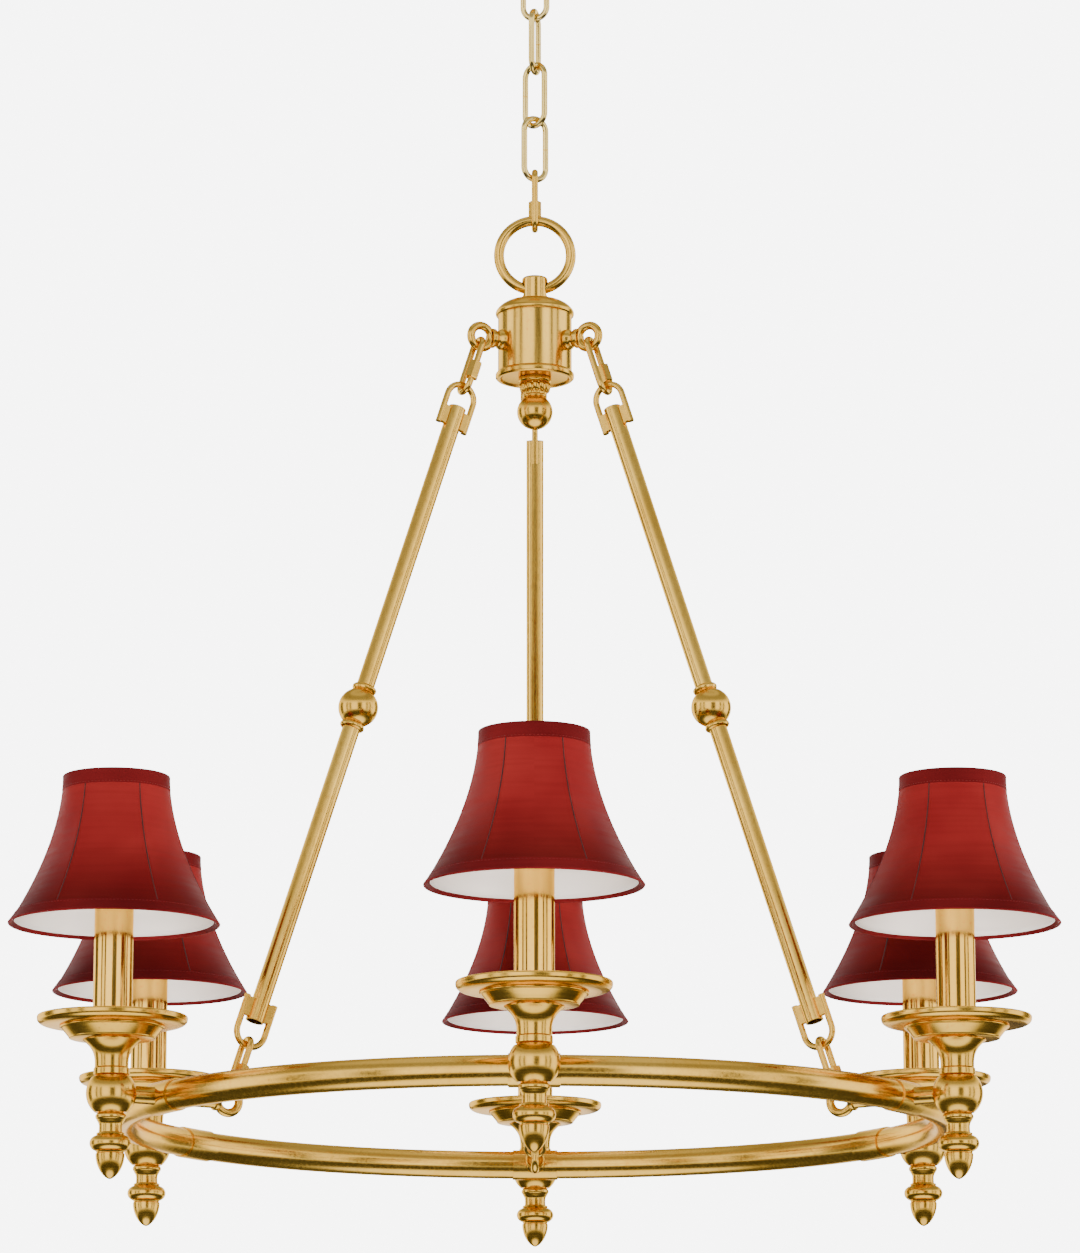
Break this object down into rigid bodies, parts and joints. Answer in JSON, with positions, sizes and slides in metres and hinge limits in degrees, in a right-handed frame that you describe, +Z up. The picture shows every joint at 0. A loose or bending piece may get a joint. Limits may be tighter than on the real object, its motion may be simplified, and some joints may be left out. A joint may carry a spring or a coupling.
{
  "type": "ring chandelier",
  "caption": "Ring chandelier on a short chain and three rods, with candle lamps under red bell shades and turned brass drops.",
  "frame": {"origin": "centre of the mounting strap's upper face, where the fitting meets the ceiling", "axes": "+Z up towards the ceiling, -Y the front, +X to the right seen from the front"},
  "size_m": [0.762, 0.8564, 1.062],
  "materials": {
    "aged_brass": "satin aged brass, lacquered",
    "polished_brass": "bright brass plate",
    "candle_brass": "satin brass tube",
    "zinc_steel": "zinc-plated pressed steel",
    "porcelain": "glazed",
    "frosted_glass": "frosted",
    "red_satin": "red satin cover over a pale lining",
    "frame_wire": "brass-plated steel wire"
  },
  "bodies": {
    "ceiling_fitting": {"mounting_strap": "zinc_steel", "canopy_loop": "aged_brass"},
    "canopy": {"ceiling_canopy": "aged_brass", "canopy_collar": "aged_brass"},
    "chain_link_1": {"chain_link_1": "polished_brass"},
    "chain_link_2": {"chain_link_2": "polished_brass"},
    "chain_link_3": {"chain_link_3": "polished_brass"},
    "chain_link_4": {"chain_link_4": "polished_brass"},
    "top_quick_link": {"top_quick_link": "aged_brass"},
    "top_link_nut": {"top_link_nut": "aged_brass"},
    "suspension_ring": {"suspension_ring": "aged_brass"},
    "hub": {"hub_stem": "aged_brass", "hub_cap": "aged_brass", "hub_barrel": "aged_brass", "hub_base": "aged_brass", "hub_finial": "aged_brass", "hub_eyes": "aged_brass"},
    "ring": {"ring_tubes": "aged_brass", "ring_couplings": "aged_brass", "ring_eyes": "aged_brass", "lamp_balls": "aged_brass", "lamp_finials": "aged_brass", "drip_cups": "aged_brass", "stepped_dishes": "aged_brass", "drip_pans": "aged_brass", "candle_sleeves": "candle_brass", "lamp_sockets": "porcelain"},
    "rod_front_right": {"rod_front_right_tubes": "aged_brass", "rod_front_right_knuckle": "aged_brass", "rod_front_right_bails": "aged_brass", "rod_front_right_links": "aged_brass"},
    "rod_front_right_nuts": {"rod_front_right_nuts": "aged_brass"},
    "rod_back": {"rod_back_tubes": "aged_brass", "rod_back_knuckle": "aged_brass", "rod_back_bails": "aged_brass", "rod_back_links": "aged_brass"},
    "rod_back_nuts": {"rod_back_nuts": "aged_brass"},
    "rod_front_left": {"rod_front_left_tubes": "aged_brass", "rod_front_left_knuckle": "aged_brass", "rod_front_left_bails": "aged_brass", "rod_front_left_links": "aged_brass"},
    "rod_front_left_nuts": {"rod_front_left_nuts": "aged_brass"},
    "bulb_front": {"bulb_front": "frosted_glass"},
    "shade_front": {"shade_front": "red_satin", "frame_front": "frame_wire"},
    "bulb_front_right": {"bulb_front_right": "frosted_glass"},
    "shade_front_right": {"shade_front_right": "red_satin", "frame_front_right": "frame_wire"},
    "bulb_back_right": {"bulb_back_right": "frosted_glass"},
    "shade_back_right": {"shade_back_right": "red_satin", "frame_back_right": "frame_wire"},
    "bulb_back": {"bulb_back": "frosted_glass"},
    "shade_back": {"shade_back": "red_satin", "frame_back": "frame_wire"},
    "bulb_back_left": {"bulb_back_left": "frosted_glass"},
    "shade_back_left": {"shade_back_left": "red_satin", "frame_back_left": "frame_wire"},
    "bulb_front_left": {"bulb_front_left": "frosted_glass"},
    "shade_front_left": {"shade_front_left": "red_satin", "frame_front_left": "frame_wire"}
  },
  "joints": [
    {"name": "canopy_drop", "type": "slide", "parent": "ceiling_fitting", "child": "canopy", "axis": [0, 0, -1], "range_m": [0, 0.045]},
    {"name": "fixture_turn", "type": "hinge", "parent": "ceiling_fitting", "child": "chain_link_1", "pos_m": [0, 0, -0.08535], "axis": [0, 0, 1], "range_deg": [-25, 35]},
    {"name": "chain_link_2_swing", "type": "hinge", "parent": "chain_link_1", "child": "chain_link_2", "pos_m": [0, 0, -0.1291], "axis": [0.9781, -0.2079, 0], "range_deg": [-15, 15]},
    {"name": "chain_link_3_swing", "type": "hinge", "parent": "chain_link_2", "child": "chain_link_3", "pos_m": [0, 0, -0.1731], "axis": [0.2756, 0.9613, 0], "range_deg": [-15, 15]},
    {"name": "chain_link_4_swing", "type": "hinge", "parent": "chain_link_3", "child": "chain_link_4", "pos_m": [0, 0, -0.2171], "axis": [0.7986, -0.6018, 0], "range_deg": [-15, 15]},
    {"name": "top_quick_link_swing", "type": "hinge", "parent": "chain_link_4", "child": "top_quick_link", "pos_m": [0, 0, -0.2611], "axis": [0.891, 0.454, 0], "range_deg": [-15, 15]},
    {"name": "top_link_nut_travel", "type": "slide", "parent": "top_quick_link", "child": "top_link_nut", "axis": [0, 0, 1], "range_m": [0, 0.0117]},
    {"name": "suspension_ring_swing", "type": "hinge", "parent": "top_quick_link", "child": "suspension_ring", "pos_m": [0, 0, -0.3018], "axis": [0, 1, 0], "range_deg": [-15, 15]},
    {"name": "hub_swing", "type": "hinge", "parent": "suspension_ring", "child": "hub", "pos_m": [0, 0, -0.351], "axis": [1, 0, 0], "range_deg": [-15, 15]},
    {"name": "ring_twist", "type": "hinge", "parent": "hub", "child": "ring", "pos_m": [0, 0, -1], "axis": [0, 0, 1], "range_deg": [-5, 5]},
    {"name": "rod_front_right_swing", "type": "hinge", "parent": "hub", "child": "rod_front_right", "pos_m": [0.04407, -0.02544, -0.40331], "axis": [0.8181, -0.4724, 0.3279], "range_deg": [-2.2, 2.2]},
    {"name": "rod_front_right_nut_travel", "type": "slide", "parent": "rod_front_right", "child": "rod_front_right_nuts", "axis": [-0.284, 0.164, 0.9447], "range_m": [0, 0.0117]},
    {"name": "rod_back_swing", "type": "hinge", "parent": "hub", "child": "rod_back", "pos_m": [0, 0.05089, -0.40331], "axis": [0, 0.9447, 0.3279], "range_deg": [-2.2, 2.2]},
    {"name": "rod_back_nut_travel", "type": "slide", "parent": "rod_back", "child": "rod_back_nuts", "axis": [0, -0.3279, 0.9447], "range_m": [0, 0.0117]},
    {"name": "rod_front_left_swing", "type": "hinge", "parent": "hub", "child": "rod_front_left", "pos_m": [-0.04407, -0.02544, -0.40331], "axis": [-0.8181, -0.4724, 0.3279], "range_deg": [-2.2, 2.2]},
    {"name": "rod_front_left_nut_travel", "type": "slide", "parent": "rod_front_left", "child": "rod_front_left_nuts", "axis": [0.284, 0.164, 0.9447], "range_m": [0, 0.0117]},
    {"name": "bulb_front_unscrew", "type": "hinge", "parent": "ring", "child": "bulb_front", "pos_m": [0, -0.352, -0.85], "axis": [0, 0, 1], "continuous": true},
    {"name": "shade_front_lift", "type": "slide", "parent": "bulb_front", "child": "shade_front", "axis": [0, 0, 1], "range_m": [0, 0.1]},
    {"name": "bulb_front_right_unscrew", "type": "hinge", "parent": "ring", "child": "bulb_front_right", "pos_m": [0.30484, -0.176, -0.85], "axis": [0, 0, 1], "continuous": true},
    {"name": "shade_front_right_lift", "type": "slide", "parent": "bulb_front_right", "child": "shade_front_right", "axis": [0, 0, 1], "range_m": [0, 0.1]},
    {"name": "bulb_back_right_unscrew", "type": "hinge", "parent": "ring", "child": "bulb_back_right", "pos_m": [0.30484, 0.176, -0.85], "axis": [0, 0, 1], "continuous": true},
    {"name": "shade_back_right_lift", "type": "slide", "parent": "bulb_back_right", "child": "shade_back_right", "axis": [0, 0, 1], "range_m": [0, 0.1]},
    {"name": "bulb_back_unscrew", "type": "hinge", "parent": "ring", "child": "bulb_back", "pos_m": [0, 0.352, -0.85], "axis": [0, 0, 1], "continuous": true},
    {"name": "shade_back_lift", "type": "slide", "parent": "bulb_back", "child": "shade_back", "axis": [0, 0, 1], "range_m": [0, 0.1]},
    {"name": "bulb_back_left_unscrew", "type": "hinge", "parent": "ring", "child": "bulb_back_left", "pos_m": [-0.30484, 0.176, -0.85], "axis": [0, 0, 1], "continuous": true},
    {"name": "shade_back_left_lift", "type": "slide", "parent": "bulb_back_left", "child": "shade_back_left", "axis": [0, 0, 1], "range_m": [0, 0.1]},
    {"name": "bulb_front_left_unscrew", "type": "hinge", "parent": "ring", "child": "bulb_front_left", "pos_m": [-0.30484, -0.176, -0.85], "axis": [0, 0, 1], "continuous": true},
    {"name": "shade_front_left_lift", "type": "slide", "parent": "bulb_front_left", "child": "shade_front_left", "axis": [0, 0, 1], "range_m": [0, 0.1]}
  ],
  "couplings": [
    {"joint": "rod_front_right_swing", "follows": "ring_twist", "ratio": 0.4096},
    {"joint": "rod_back_swing", "follows": "ring_twist", "ratio": 0.4096},
    {"joint": "rod_front_left_swing", "follows": "ring_twist", "ratio": 0.4096}
  ]
}
